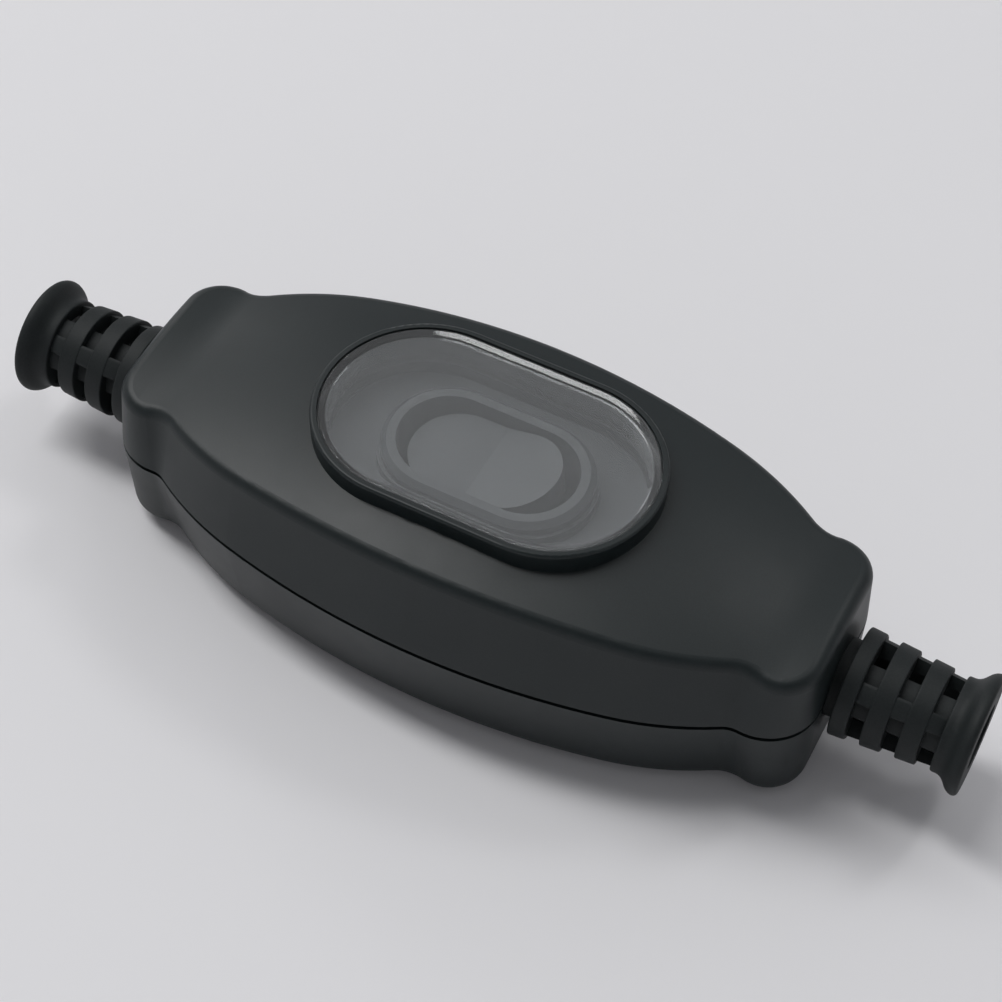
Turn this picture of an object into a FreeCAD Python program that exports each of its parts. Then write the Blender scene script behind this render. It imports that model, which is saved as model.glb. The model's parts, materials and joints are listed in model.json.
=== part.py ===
import FreeCAD, Part
import math
import os

os.makedirs("parts", exist_ok=True)
Vector = FreeCAD.Vector

# Inline switch for a power cord, in millimetres. X runs along the cord, Y across the housing
# and Z up from the surface that it lies on. The origin is under the middle of the housing.

# Outline of the two shells at the joint between them
housing_half_length = 55.1
housing_half_width = 25.8
middle_arc_radius = housing_half_length * 2.364
shoulder_start_x = housing_half_length * 0.5455
shoulder_arc_radius = 50.0
neck_arc_radius = 3.5
end_half_width = 16.0
end_corner_radius = 8.0

# Heights and walls of the two shells
crown_height = 34.4
joint_height = crown_height / 2
joint_gap = 0.7
crown_length_radius = 200.0
crown_width_radius = 86.0
ridge_blend_radius = 20.0
top_edge_radius = 2.0
top_draft_degrees = 12.8
top_end_draft_degrees = 3.3
base_draft_degrees = 8.5
base_end_draft_degrees = 0.5
base_edge_radius = 4.0
wall = 2.6
floor_thickness = 2.4
outer_skin = 1.35

# Tongue of the lower shell and the seals that it presses into the upper shell
tongue_inset = 1.4
tongue_height = 1.5
tongue_clearance = 0.05
seal_thickness = 0.6

# Raised window rim and the clear membrane in it
window_half_straight = 9.9
window_radius = housing_half_width / 1.714
window_rim_width = 0.95
window_rim_rise = 1.4
window_rim_height = crown_height + window_rim_rise
window_rim_round = 0.45
seat_width = 2.1
seat_top_drop = 2.4
seat_thickness = 1.6
seat_top = crown_height - seat_top_drop
seat_height = seat_top - seat_thickness
membrane_clearance = 0.05
membrane_wall = 1.0
membrane_flange_thickness = 1.2
membrane_flange_margin = 0.5
membrane_edge_drop = 0.3
membrane_edge_width = 1.3
membrane_shelf_drop = 1.3
membrane_shelf_radius = 10.6
membrane_middle_drop = 1.7

# Frame that clamps the membrane and carries the switch
frame_half_length = 30.0
frame_half_width = window_radius + 1.38
frame_corner_radius = 5.0
frame_plate_drop = 5.4
frame_plate_bottom = seat_height - frame_plate_drop
frame_plate_thickness = 2.0
frame_ring_width = 2.6
switch_ring_width = 1.7
frame_screw_x = 25.6
frame_screw_y = frame_half_width - 3.8
frame_post_radius = 3.2
frame_screw_radius = 1.3
frame_screw_head_radius = 2.6
frame_screw_head_height = 1.6
frame_screw_depth = 4.0

# Screws that close the shells from below
housing_screw_x = housing_half_length - 20.0
housing_screw_y = housing_half_width * 0.45
housing_column_radius = 3.9
housing_screw_radius = 1.7
housing_screw_head_radius = 2.9
housing_screw_head_height = 2.0
housing_screw_recess = 3.2
housing_screw_depth = 8.0
screw_clearance = 0.05
head_clearance = 0.35
drive_slot_width = 0.7
drive_slot_depth = 0.8

# Rubber strain relief at each end
relief_bore_radius = 4.75
cord_drop = 1.45
cord_height = joint_height - cord_drop
relief_neck_radius = 5.75
relief_neck_gap = 1.4
relief_neck_clearance = 0.1
relief_flange_radius = 8.6
relief_flange_clearance = 1.7
relief_flange_thickness = 2.4
relief_seat_thickness = 5.5
relief_seat_half_width = 11.6
relief_first_ring_radius = 8.0
relief_last_ring_radius = 7.0
relief_ring_pitch = 5.0
relief_ring_count = 4
relief_slot_width = 2.1
relief_first_ring_width = 2.5
relief_groove_depth = 0.65
relief_web_degrees = 24.0
relief_shoulder_degrees = 28.0
relief_shoulder_radius = 6.0
relief_web_turn = 42.0
relief_collar_radius = 8.9
relief_collar_thickness = 1.6
relief_length = 20.6
relief_ring_round = 0.35

# Clamp bars that hold the cord inside each end
clamp_x = housing_half_length - 12.5
clamp_width = 5.0
clamp_bar_bottom_drop = 1.0
clamp_foot_thickness = 3.0
clamp_arch_wall = 2.2
clamp_squeeze = 0.35
clamp_bore_radius = relief_bore_radius - clamp_squeeze
clamp_pillar_radius = 2.7
clamp_screw_radius = 1.3
clamp_screw_head_radius = 2.3
clamp_head_clearance = 0.05
clamp_screw_y = clamp_bore_radius + clamp_arch_wall + clamp_screw_head_radius + clamp_head_clearance
clamp_bar_half_length = clamp_screw_y + 2.5
clamp_screw_head_height = 1.5
clamp_screw_length = 9.0
saddle_half_width = 7.0

# Body of the double-pole rocker switch
case_half_straight = 6.0
case_wall = 1.0
case_floor_thickness = 3.0
case_floor_drop = 4.5
case_flange_overhang = 1.2
case_flange_thickness = 2.2
case_fit_clearance = 0.05
divider_thickness = 1.2
divider_rise = 6.5
latch_height = 1.6
latch_depth = 0.6
latch_width = 5.0

# Rocker, with a plunger for each pole
rocker_pivot_drop = 3.9
rocker_half_straight = 4.2
rocker_radius = window_radius / 2.1
rocker_side_clearance = 0.4
rocker_end_rise = 3.8
rocker_middle_rise = 2.6
rocker_end_depth = 0.5
rocker_bottom_drop = 2.5
rocker_foot_half_length = 9.0
rocker_rest_degrees = -8.0
trunnion_radius = 1.5
trunnion_reach = 1.2
running_clearance = 0.05
pole_y = rocker_radius / 2
leg_radius = pole_y * 0.7
leg_wall = 0.95
leg_drop = 6.0
plunger_radius = leg_radius - leg_wall - running_clearance
plunger_bore_top = 1.0
plunger_top_drop = 2.6
plunger_tip_drop = 8.6
spring_wire_radius = 0.22
spring_turns = 3.5
spring_steps_per_turn = 12

# Tilting blades and terminals
blade_half_length = 8.4
blade_width = pole_y
blade_thickness = 0.8
blade_rest_degrees = 6.0
blade_clearance = 0.06
rivet_x = 6.9
rivet_radius = 1.3
rivet_height = 0.6
contact_gap = 0.08
terminal_thickness = 0.8
terminal_width = pole_y + 1.2
terminal_floor_gap = 2.1
terminal_load_x = 10.0
shelf_rise = 2.1
cradle_tip_half_width = 0.45
cradle_shoulder_rise = 1.1
cradle_gap = 0.05
stop_gap = 0.1
stop_length = 1.6

# Earth connector
earth_x = 23.5
earth_length = 12.0
earth_width = 8.0
earth_height = 8.0
earth_bottom = 4.6
earth_bore_radius = 1.8
earth_screw_radius = 1.4
earth_screw_spacing = 6.0
earth_screw_proud = 0.8
cradle_wall = 1.4
cradle_height = 4.0

wall_tangent_top = math.tan(math.radians(top_draft_degrees))
wall_tangent_base = math.tan(math.radians(base_draft_degrees))
end_tangent_top = math.tan(math.radians(top_end_draft_degrees))
end_tangent_base = math.tan(math.radians(base_end_draft_degrees))
housing_screw_places = [(sx * housing_screw_x, sy * housing_screw_y) for sx in (-1, 1) for sy in (-1, 1)]
frame_screw_places = [(sx * frame_screw_x, sy * frame_screw_y) for sx in (-1, 1) for sy in (-1, 1)]
clamp_screw_places = [(sx * clamp_x, sy * clamp_screw_y) for sx in (-1, 1) for sy in (-1, 1)]
end_ridge_height = cord_height + relief_flange_radius + relief_flange_clearance + wall
frame_plate_top = frame_plate_bottom + frame_plate_thickness
flange_bottom = seat_height - membrane_flange_thickness
membrane_radius = window_radius - membrane_clearance
membrane_inner_radius = membrane_radius - membrane_wall
membrane_flange_radius = membrane_radius + seat_width - membrane_flange_margin
rocker_pivot_height = seat_height - rocker_pivot_drop
blade_top = rocker_pivot_height - plunger_tip_drop - blade_clearance
blade_bottom = blade_top - blade_thickness
case_radius = rocker_radius + rocker_side_clearance + case_wall
case_floor_top = blade_bottom - case_floor_drop
case_bottom = case_floor_top - case_floor_thickness
terminal_bottom = floor_thickness + terminal_floor_gap


# Building blocks

def box(x_low, x_high, y_low, y_high, z_low, z_high):
    """A block between two corners."""
    return Part.makeBox(x_high - x_low, y_high - y_low, z_high - z_low, Vector(x_low, y_low, z_low))


def pillar(x, y, radius, z_low, z_high):
    """An upright round bar."""
    return Part.makeCylinder(radius, z_high - z_low, Vector(x, y, z_low))


def bar_along_x(radius, x_low, x_high, z):
    """A round bar along X, over the middle of the housing."""
    return Part.makeCylinder(radius, x_high - x_low, Vector(x_low, 0, z), Vector(1, 0, 0))


def fused(shapes):
    """One solid from shapes that touch."""
    return shapes[0].multiFuse(shapes[1:]).removeSplitter()


def arc_edge(centre, radius, start_degrees, end_degrees, z):
    """An arc in the plane of the given height, from one angle to another."""
    points = []
    for degrees in (start_degrees, (start_degrees + end_degrees) / 2, end_degrees):
        angle = math.radians(degrees)
        points.append(Vector(centre[0] + radius * math.cos(angle), centre[1] + radius * math.sin(angle), z))
    return Part.Arc(*points).toShape()


def polygon_face(points):
    """A flat face with straight sides."""
    return Part.Face(Part.makePolygon(points + points[:1]))


def side_profile(points, half_width, y=0.0):
    """A shape drawn in X and Z and given a width across the housing."""
    face = polygon_face([Vector(x, y - half_width, z) for x, z in points])
    return face.extrude(Vector(0, 2 * half_width, 0))


# Outline of the housing

def direction_degrees(start, end):
    return math.degrees(math.atan2(end[1] - start[1], end[0] - start[0]))


def outline_arcs(half_length):
    """Centre, radius and end angles of the arcs in one quarter of the outline.

    The middle arc runs into a tighter shoulder arc. A hollow neck arc, tangent to both of its
    neighbours, leads to the rounded corner of the squared end.
    """
    middle = (0.0, housing_half_width - middle_arc_radius)
    shoulder_angle = math.degrees(math.acos(shoulder_start_x / middle_arc_radius))
    reach = middle_arc_radius - shoulder_arc_radius
    shoulder = (middle[0] + reach * math.cos(math.radians(shoulder_angle)),
                middle[1] + reach * math.sin(math.radians(shoulder_angle)))
    corner = (half_length - end_corner_radius, end_half_width - end_corner_radius)
    span = math.dist(shoulder, corner)
    to_shoulder = shoulder_arc_radius + neck_arc_radius
    to_corner = end_corner_radius + neck_arc_radius
    along = (to_shoulder ** 2 - to_corner ** 2 + span ** 2) / (2 * span)
    across = math.sqrt(to_shoulder ** 2 - along ** 2)
    ux = (corner[0] - shoulder[0]) / span
    uy = (corner[1] - shoulder[1]) / span
    neck = (shoulder[0] + along * ux - across * uy, shoulder[1] + along * uy + across * ux)
    shoulder_end = direction_degrees(shoulder, neck)
    corner_start = direction_degrees(corner, neck)
    return [(middle, middle_arc_radius, 90.0, shoulder_angle, -1),
            (shoulder, shoulder_arc_radius, shoulder_angle, shoulder_end, -1),
            (neck, neck_arc_radius, shoulder_end - 180.0, corner_start - 180.0, 1),
            (corner, end_corner_radius, corner_start, 0.0, -1)]


def outline_wire(inset, z, half_length=housing_half_length):
    """The outline of this half length, moved inwards by the inset, at one height."""
    quarter = []
    for centre, radius, start, end, side in outline_arcs(half_length):
        quarter.append(arc_edge(centre, radius + side * inset, start, end, z))
    x_end = half_length - inset
    y_end = end_half_width - end_corner_radius
    side = Part.LineSegment(Vector(x_end, y_end, z), Vector(x_end, -y_end, z)).toShape()
    right = quarter + [edge.mirror(Vector(0, 0, z), Vector(0, 1, 0)) for edge in quarter] + [side]
    left = [edge.mirror(Vector(0, 0, z), Vector(1, 0, 0)) for edge in right]
    return Part.Wire(Part.__sortEdges__(right + left))


def drafted_block(inset_low, z_low, inset_high, z_high):
    """A block of the housing's outline whose sides lean away from the joint.

    The ends lean less than the sides, so the outline is drawn longer by the difference before it
    is moved inwards.
    """
    wires = []
    for inset, z in ((inset_low, z_low), (inset_high, z_high)):
        if z > joint_height:
            longer = (z - joint_height) * (wall_tangent_top - end_tangent_top)
        else:
            longer = (joint_height - z) * (wall_tangent_base - end_tangent_base)
        wires.append(outline_wire(inset, z, housing_half_length + longer))
    return Part.makeLoft(wires, True, True)


def outline_block(inset, z_low, z_high):
    """A block of the housing's outline with upright sides."""
    return Part.Face(outline_wire(inset, z_low)).extrude(Vector(0, 0, z_high - z_low))


def outline_ring(inset_outer, inset_inner, z_low, z_high):
    """A ring that follows the housing's outline."""
    return outline_block(inset_outer, z_low, z_high).cut(outline_block(inset_inner, z_low, z_high))


def crown_block(top, ridge):
    """Everything under the crowned top, which is an arc along the housing and an arc across it.

    Near each end the long arc turns up into a level ridge over the squared end.
    """
    arc_centre = top - crown_length_radius
    blend_centre_z = ridge + ridge_blend_radius
    centres_apart = crown_length_radius + ridge_blend_radius
    blend_x = math.sqrt(centres_apart ** 2 - (blend_centre_z - arc_centre) ** 2)
    turn = math.atan2(blend_x, blend_centre_z - arc_centre)
    meet = (crown_length_radius * math.sin(turn), arc_centre + crown_length_radius * math.cos(turn))
    half = (ridge_blend_radius * math.sin(turn / 2), ridge_blend_radius * math.cos(turn / 2))
    far_x = housing_half_length + wall
    edges = [Part.Arc(Vector(-meet[0], 0, meet[1]), Vector(0, 0, top), Vector(meet[0], 0, meet[1])).toShape()]
    for side in (1, -1):
        blend_middle = Vector(side * (blend_x - half[0]), 0, blend_centre_z - half[1])
        edges.append(Part.Arc(Vector(side * meet[0], 0, meet[1]), blend_middle,
                              Vector(side * blend_x, 0, ridge)).toShape())
        edges.append(Part.LineSegment(Vector(side * blend_x, 0, ridge), Vector(side * far_x, 0, ridge)).toShape())
        edges.append(Part.LineSegment(Vector(side * far_x, 0, ridge), Vector(side * far_x, 0, 0)).toShape())
    edges.append(Part.LineSegment(Vector(-far_x, 0, 0), Vector(far_x, 0, 0)).toShape())
    face = Part.Face(Part.Wire(Part.__sortEdges__(edges)))
    axis_point = Vector(0, 0, crown_height - crown_width_radius)
    half_turn = math.degrees(math.asin((housing_half_width + wall) / (joint_height - axis_point.z)))
    face.rotate(axis_point, Vector(1, 0, 0), -half_turn)
    return face.revolve(axis_point, Vector(1, 0, 0), 2 * half_turn)


# Oblong forms: two half turns joined by a straight stretch

def oblong_face(half_straight, radius, z):
    points = [Vector(-half_straight, -radius, z), Vector(half_straight, -radius, z),
              Vector(half_straight, radius, z), Vector(-half_straight, radius, z)]
    edges = [Part.LineSegment(points[0], points[1]).toShape(),
             Part.Arc(points[1], Vector(half_straight + radius, 0, z), points[2]).toShape(),
             Part.LineSegment(points[2], points[3]).toShape(),
             Part.Arc(points[3], Vector(-half_straight - radius, 0, z), points[0]).toShape()]
    return Part.Face(Part.Wire(edges))


def oblong_block(half_straight, radius, z_low, z_high):
    return oblong_face(half_straight, radius, z_low).extrude(Vector(0, 0, z_high - z_low))


def oblong_ring(half_straight, radius_outer, radius_inner, z_low, z_high):
    return oblong_block(half_straight, radius_outer, z_low, z_high).cut(
        oblong_block(half_straight, radius_inner, z_low, z_high))


def oblong_sweep(half_straight, section):
    """A closed section of radius and height, carried round the oblong."""
    pieces = []
    for side in (1, -1):
        face = polygon_face([Vector(side * half_straight, -side * radius, z) for radius, z in section])
        pieces.append(face.revolve(Vector(side * half_straight, 0, 0), Vector(0, 0, 1), 180))
        straight = polygon_face([Vector(-half_straight, side * radius, z) for radius, z in section])
        pieces.append(straight.extrude(Vector(2 * half_straight, 0, 0)))
    return fused(pieces)


# Screws

def screw(x, y, head_z, direction, radius, length, head_radius, head_height):
    """A cross-slotted screw. The direction of its shank is 1 for up and -1 for down."""
    down = Vector(0, 0, -direction)
    head = Part.makeCylinder(head_radius, head_height, Vector(x, y, head_z), down)
    rim = [edge for edge in head.Edges
           if edge.Closed and abs(edge.CenterOfMass.z - (head_z - direction * head_height)) < 1e-6]
    head = head.makeChamfer(head_height * 0.35, rim)
    shank = Part.makeCylinder(radius, length, Vector(x, y, head_z), Vector(0, 0, direction))
    body = fused([head, shank])
    slot_z = head_z - direction * (head_height - drive_slot_depth / 2)
    half_long = head_radius * 0.6
    half_slot = drive_slot_width / 2
    half_deep = drive_slot_depth / 2 + head_height * 0.05
    for half_x, half_y in ((half_long, half_slot), (half_slot, half_long)):
        body = body.cut(box(x - half_x, x + half_x, y - half_y, y + half_y,
                            slot_z - half_deep, slot_z + half_deep))
    return body


# Housing shells

def relief_seats(z_low, z_high):
    """Thick pads inside the end walls, with flat inner faces for the strain reliefs' flanges."""
    inner_x = housing_half_length - relief_seat_thickness
    outer_x = housing_half_length + wall
    return [box(min(side * inner_x, side * outer_x), max(side * inner_x, side * outer_x),
                -relief_seat_half_width, relief_seat_half_width, z_low, z_high) for side in (-1, 1)]


def cord_holes():
    """The two round holes through the end walls, split between the shells."""
    inner_x = housing_half_length - relief_seat_thickness - wall
    outer_x = housing_half_length + wall
    radius = relief_neck_radius + relief_neck_clearance
    return [bar_along_x(radius, inner_x, outer_x, cord_height),
            bar_along_x(radius, -outer_x, -inner_x, cord_height)]


def make_housing_top():
    """Upper shell: a leaning wall under a crowned top, with the raised rim of the window."""
    low = joint_height + joint_gap / 2
    high = crown_height + wall
    lean = wall_tangent_top
    outer = drafted_block(lean * (low - joint_height), low, lean * (high - joint_height), high)
    outer = outer.common(crown_block(crown_height, end_ridge_height))
    top_edges = []
    for face in outer.Faces:
        if face.BoundBox.ZMin < low + 0.01 < face.BoundBox.ZMax:
            top_edges += [edge for edge in face.Edges if edge.BoundBox.ZMin > low + wall]
    skin = outer.makeFillet(top_edge_radius, top_edges)

    inner_top = crown_height - wall
    cavity = drafted_block(wall, joint_height, wall + lean * (inner_top + 1 - joint_height), inner_top + 1)
    cavity = cavity.common(crown_block(inner_top, end_ridge_height - wall))
    seal_top = joint_height + tongue_height + seal_thickness
    shell = skin.cut(cavity).cut(outline_block(outer_skin, low - 1, seal_top))

    half_wall_down = crown_block(crown_height - wall / 2, end_ridge_height - wall / 2)
    room = drafted_block(wall / 2, joint_height, wall / 2 + lean * (high - joint_height), high)
    room = room.common(half_wall_down)
    inside = relief_seats(low, end_ridge_height)
    inside += [pillar(x, y, housing_column_radius, low, inner_top) for x, y in housing_screw_places]
    inside += [pillar(x, y, frame_post_radius, frame_plate_top, inner_top) for x, y in frame_screw_places]
    inside = [shape.common(room) for shape in inside]
    shell = fused([shell] + inside)
    shell = shell.cut(outline_ring(outer_skin, wall + tongue_clearance, low - 1, seal_top))

    rim = oblong_block(window_half_straight, window_radius + window_rim_width, seat_height, window_rim_height)
    rim_edges = [edge for edge in rim.Edges if edge.BoundBox.ZMin > window_rim_height - 0.01]
    rim = rim.makeFillet(window_rim_round, rim_edges)
    seat = oblong_block(window_half_straight, window_radius + seat_width, seat_height, seat_top)
    shell = fused([shell, rim, seat])
    window = oblong_block(window_half_straight, window_radius, joint_height, window_rim_height + 1)
    flange_room = oblong_block(window_half_straight, membrane_flange_radius + head_clearance, joint_height,
                               seat_height)
    cuts = [window, flange_room] + cord_holes()
    pilot = housing_screw_radius + screw_clearance
    cuts += [pillar(x, y, pilot, low - 1, joint_height + housing_screw_depth) for x, y in housing_screw_places]
    pilot = frame_screw_radius + screw_clearance
    cuts += [pillar(x, y, pilot, frame_plate_top - 1, frame_plate_top + frame_screw_depth)
             for x, y in frame_screw_places]
    return shell.cut(Part.makeCompound(cuts))


def make_housing_base():
    """Lower shell: a rounded tray with screw columns, cord saddles and the earth cradle."""
    high = joint_height - joint_gap / 2
    lean = wall_tangent_base
    outer = drafted_block(lean * joint_height, 0, lean * (joint_height - high), high)
    floor_edges = [edge for edge in outer.Edges if edge.BoundBox.ZMax < 0.01]
    skin = outer.makeFillet(base_edge_radius, floor_edges)
    cavity = drafted_block(wall + lean * (joint_height - floor_thickness), floor_thickness, wall, joint_height)
    shell = skin.cut(cavity)

    floor_middle = floor_thickness / 2
    room = drafted_block(wall / 2 + lean * (joint_height - floor_middle), floor_middle,
                         wall / 2 + lean * (joint_height - high), high)
    inside = relief_seats(0, high)
    inside += [pillar(x, y, housing_column_radius, 0, high) for x, y in housing_screw_places]
    clamp_low = cord_height - clamp_bar_bottom_drop
    inside += [pillar(x, y, clamp_pillar_radius, floor_middle, clamp_low) for x, y in clamp_screw_places]
    for side in (-1, 1):
        x = side * clamp_x
        saddle = box(x - clamp_width / 2, x + clamp_width / 2, -saddle_half_width, saddle_half_width,
                     floor_middle, clamp_low)
        inside.append(saddle)
    inside = [shape.common(room) for shape in inside]
    inside.append(make_earth_cradle())
    shell = fused([shell] + inside)
    tongue = outline_ring(tongue_inset, wall, high - 1, joint_height + tongue_height)
    shell = fused([shell, tongue])

    cuts = cord_holes()
    cord_room = housing_half_length - relief_seat_thickness
    cuts.append(bar_along_x(clamp_bore_radius, -cord_room, cord_room, cord_height))
    for x, y in housing_screw_places:
        cuts.append(pillar(x, y, housing_screw_radius + screw_clearance, -1, joint_height))
        cuts.append(pillar(x, y, housing_screw_head_radius + head_clearance, -1, housing_screw_recess))
    for x, y in clamp_screw_places:
        cuts.append(pillar(x, y, clamp_screw_radius + screw_clearance, floor_thickness, joint_height))
    return shell.cut(Part.makeCompound(cuts))


def make_seals():
    """The seal strips over the tongue, one on each side, which end at the strain reliefs."""
    low = joint_height + tongue_height
    ring = outline_ring(tongue_inset, wall, low, low + seal_thickness)
    ring = ring.cut(Part.makeCompound(cord_holes()))
    halves = sorted(ring.Solids, key=lambda solid: solid.CenterOfMass.y)
    return {"housing_seal_front": halves[0], "housing_seal_back": halves[-1]}


def make_housing_screws():
    length = joint_height + housing_screw_depth - housing_screw_recess - screw_clearance * 10
    return Part.makeCompound([screw(x, y, housing_screw_recess, 1, housing_screw_radius, length,
                                    housing_screw_head_radius, housing_screw_head_height)
                              for x, y in housing_screw_places])


# Window membrane and frame

def make_membrane():
    """Clear soft cover: a flange under the housing, an upright wall and a dished roof."""
    top = window_rim_height - membrane_edge_drop
    shelf = top - membrane_shelf_drop
    middle = top - membrane_middle_drop
    roof = membrane_wall * 0.9
    edge_inner = membrane_radius - membrane_edge_width
    slope_end = membrane_shelf_radius + membrane_edge_drop
    section = [(membrane_flange_radius, flange_bottom), (membrane_flange_radius, seat_height),
               (membrane_radius, seat_height), (membrane_radius, top), (edge_inner, top),
               (slope_end, shelf), (membrane_shelf_radius * 0.6, shelf - 0.05), (0, middle),
               (0, middle - roof), (membrane_shelf_radius * 0.6, shelf - 0.05 - roof),
               (slope_end, shelf - roof), (membrane_inner_radius, top - roof * 1.5),
               (membrane_inner_radius, flange_bottom)]
    return oblong_sweep(window_half_straight, section)


def make_switch_frame():
    """Plate under the window: one ring presses the membrane's flange, one carries the switch."""
    plate = box(-frame_half_length, frame_half_length, -frame_half_width, frame_half_width,
                frame_plate_bottom, frame_plate_top)
    upright = [edge for edge in plate.Edges if edge.BoundBox.ZLength > frame_plate_thickness / 2]
    plate = plate.makeFillet(frame_corner_radius, upright)
    outer_ring = oblong_ring(window_half_straight, membrane_flange_radius,
                             membrane_flange_radius - frame_ring_width, frame_plate_top - 1, flange_bottom)
    hole_radius = case_radius + case_fit_clearance
    inner_ring = oblong_ring(case_half_straight, hole_radius + switch_ring_width, hole_radius,
                             frame_plate_top - 1, flange_bottom)
    hole = oblong_block(case_half_straight, hole_radius, frame_plate_bottom - 1, flange_bottom + 1)
    frame = fused([plate, outer_ring, inner_ring]).cut(hole)
    holes = [pillar(x, y, frame_screw_radius + screw_clearance, frame_plate_bottom - 1, frame_plate_top + 1)
             for x, y in frame_screw_places]
    clear_posts = [pillar(x, y, frame_post_radius + head_clearance, frame_plate_top, seat_top)
                   for x, y in frame_screw_places]
    return frame.cut(Part.makeCompound(holes + clear_posts))


def make_frame_screws():
    length = frame_plate_thickness + frame_screw_depth - screw_clearance * 10
    return Part.makeCompound([screw(x, y, frame_plate_bottom, 1, frame_screw_radius, length,
                                    frame_screw_head_radius, frame_screw_head_height)
                              for x, y in frame_screw_places])


# Strain reliefs and cord clamps

def relief_ring_radius(distance):
    """The rings get smaller away from the housing."""
    last = relief_ring_pitch * (relief_ring_count - 1) + relief_first_ring_width
    share = min(max(distance / last, 0.0), 1.0)
    return relief_first_ring_radius + (relief_last_ring_radius - relief_first_ring_radius) * share


def cylinder_wedge(radius, x_low, x_high, turn, degrees):
    """A wedge of a round bar along X, which starts at an angle from straight up."""
    wedge = Part.makeCylinder(radius, x_high - x_low, Vector(x_low, 0, 0), Vector(1, 0, 0), degrees)
    wedge.rotate(Vector(0, 0, 0), Vector(1, 0, 0), turn)
    return wedge


def make_strain_relief(side):
    """Ribbed rubber sleeve along +X for side 1 and along -X for side -1.

    It is turned as one hollow body with grooves between the rings. On the front half slots are
    cut in the grooves on both sides of a web, each with a shoulder next to the web and open to
    the bore beyond it. On the other half the slots are cut in the rings instead, so the two
    halves are half a step apart.
    """
    start = housing_half_length
    seat = start - relief_seat_thickness
    back = seat - relief_flange_thickness
    end = start + relief_length
    collar = end - relief_collar_thickness
    section = [(back, relief_bore_radius), (back, relief_flange_radius), (seat, relief_flange_radius),
               (seat, relief_neck_radius)]
    slots = []
    slots_behind = []
    first = start + relief_neck_gap
    section.append((first, relief_neck_radius))
    position = first
    for index in range(relief_ring_count):
        width = relief_first_ring_width if index == 0 else relief_ring_pitch - relief_slot_width
        if index == relief_ring_count - 1:
            width = collar - position - relief_collar_thickness
        near = relief_ring_radius(position - first)
        far = relief_ring_radius(position + width - first)
        section += [(position, near), (position + width, far)]
        if 0 < index < relief_ring_count - 1:
            edge = position + (width - relief_slot_width) / 2
            slots_behind.append((edge, edge + relief_slot_width))
        position += width
        if index < relief_ring_count - 1:
            low = far - relief_groove_depth
            section += [(position, low), (position + relief_slot_width, low - 0.1)]
            slots.append((position, position + relief_slot_width))
            position += relief_slot_width
    section += [(collar, relief_collar_radius - relief_ring_round), (collar + relief_collar_thickness / 2,
                relief_collar_radius), (end, relief_collar_radius - relief_ring_round), (end, relief_bore_radius)]
    face = polygon_face([Vector(x, radius, 0) for x, radius in section])
    body = face.revolve(Vector(0, 0, 0), Vector(1, 0, 0), 360)
    slot_degrees = 90.0 - relief_web_degrees
    open_degrees = slot_degrees - relief_shoulder_degrees
    cuts = []
    for places, half_turn in ((slots, 0.0), (slots_behind, 180.0)):
        for low, high in places:
            shoulders = bar_along_x(relief_shoulder_radius, low, high, 0)
            for side_turn, open_turn in ((0.0, relief_shoulder_degrees), (-90.0, 0.0)):
                turn = half_turn + side_turn + relief_web_degrees / 2
                slot = cylinder_wedge(relief_flange_radius, low, high, turn, slot_degrees)
                cuts.append(slot.cut(shoulders))
                cuts.append(cylinder_wedge(relief_flange_radius, low, high, turn + open_turn, open_degrees))
    body = body.cut(Part.makeCompound(cuts))
    body.rotate(Vector(0, 0, 0), Vector(1, 0, 0), relief_web_turn)
    body.translate(Vector(0, 0, cord_height))
    if side < 0:
        body = body.mirror(Vector(0, 0, 0), Vector(1, 0, 0))
    return body


def make_cord_clamp(side):
    """Arched bar that presses the cord onto its saddle."""
    x = side * clamp_x
    low = cord_height - clamp_bar_bottom_drop
    foot_top = low + clamp_foot_thickness
    feet = box(x - clamp_width / 2, x + clamp_width / 2, -clamp_bar_half_length, clamp_bar_half_length,
               low, foot_top)
    arch = bar_along_x(clamp_bore_radius + clamp_arch_wall, x - clamp_width / 2, x + clamp_width / 2, cord_height)
    arch = arch.cut(box(x - clamp_width, x + clamp_width, -frame_half_width, frame_half_width, 0, low))
    cord = bar_along_x(clamp_bore_radius, x - clamp_width, x + clamp_width, cord_height)
    holes = [pillar(x, sy * clamp_screw_y, clamp_screw_radius + screw_clearance, low - 1, foot_top + 1)
             for sy in (-1, 1)]
    return fused([feet, arch]).cut(Part.makeCompound([cord] + holes))


def make_clamp_screws():
    top = cord_height - clamp_bar_bottom_drop + clamp_foot_thickness
    return Part.makeCompound([screw(x, y, top, -1, clamp_screw_radius, clamp_screw_length,
                                    clamp_screw_head_radius, clamp_screw_head_height)
                              for x, y in clamp_screw_places])


# Switch

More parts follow.
